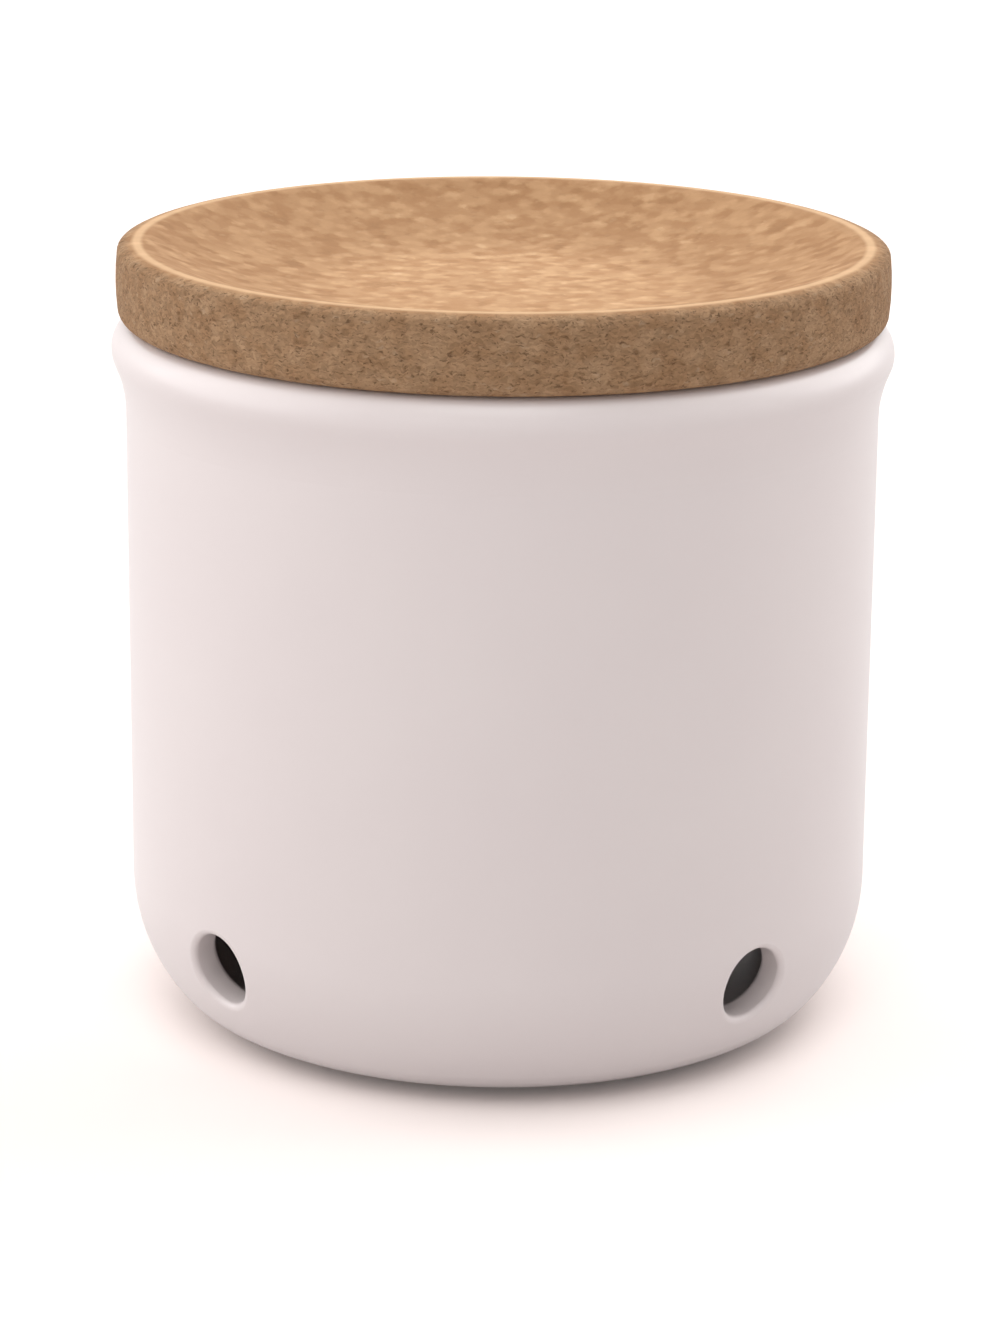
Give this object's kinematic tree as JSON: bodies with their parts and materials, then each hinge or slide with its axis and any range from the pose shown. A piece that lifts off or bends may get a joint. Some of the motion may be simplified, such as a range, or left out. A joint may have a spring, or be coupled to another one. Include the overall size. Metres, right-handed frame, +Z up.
{
  "type": "garlic keeper",
  "caption": "Straight-sided stoneware storage pot with a rolled rim and round air vents through its bottom corner, closed by a thick dished cork lid with a locating plug.",
  "frame": {"origin": "on the table, under the middle of the foot ring", "axes": "+Z up along the axis of the pot and lid; -Y is the front, halfway between two vents; the vents are at 45 degrees to X and Y"},
  "size_m": [0.142, 0.142, 0.1437],
  "materials": {
    "stoneware": "satin",
    "cork": "matte"
  },
  "bodies": {
    "pot": {"pot": "stoneware"},
    "lid": {"lid": "cork"}
  },
  "joints": [
    {"name": "lid_lift", "type": "slide", "parent": "pot", "child": "lid", "axis": [0, 0, 1], "range_m": [0, 0.08]}
  ]
}
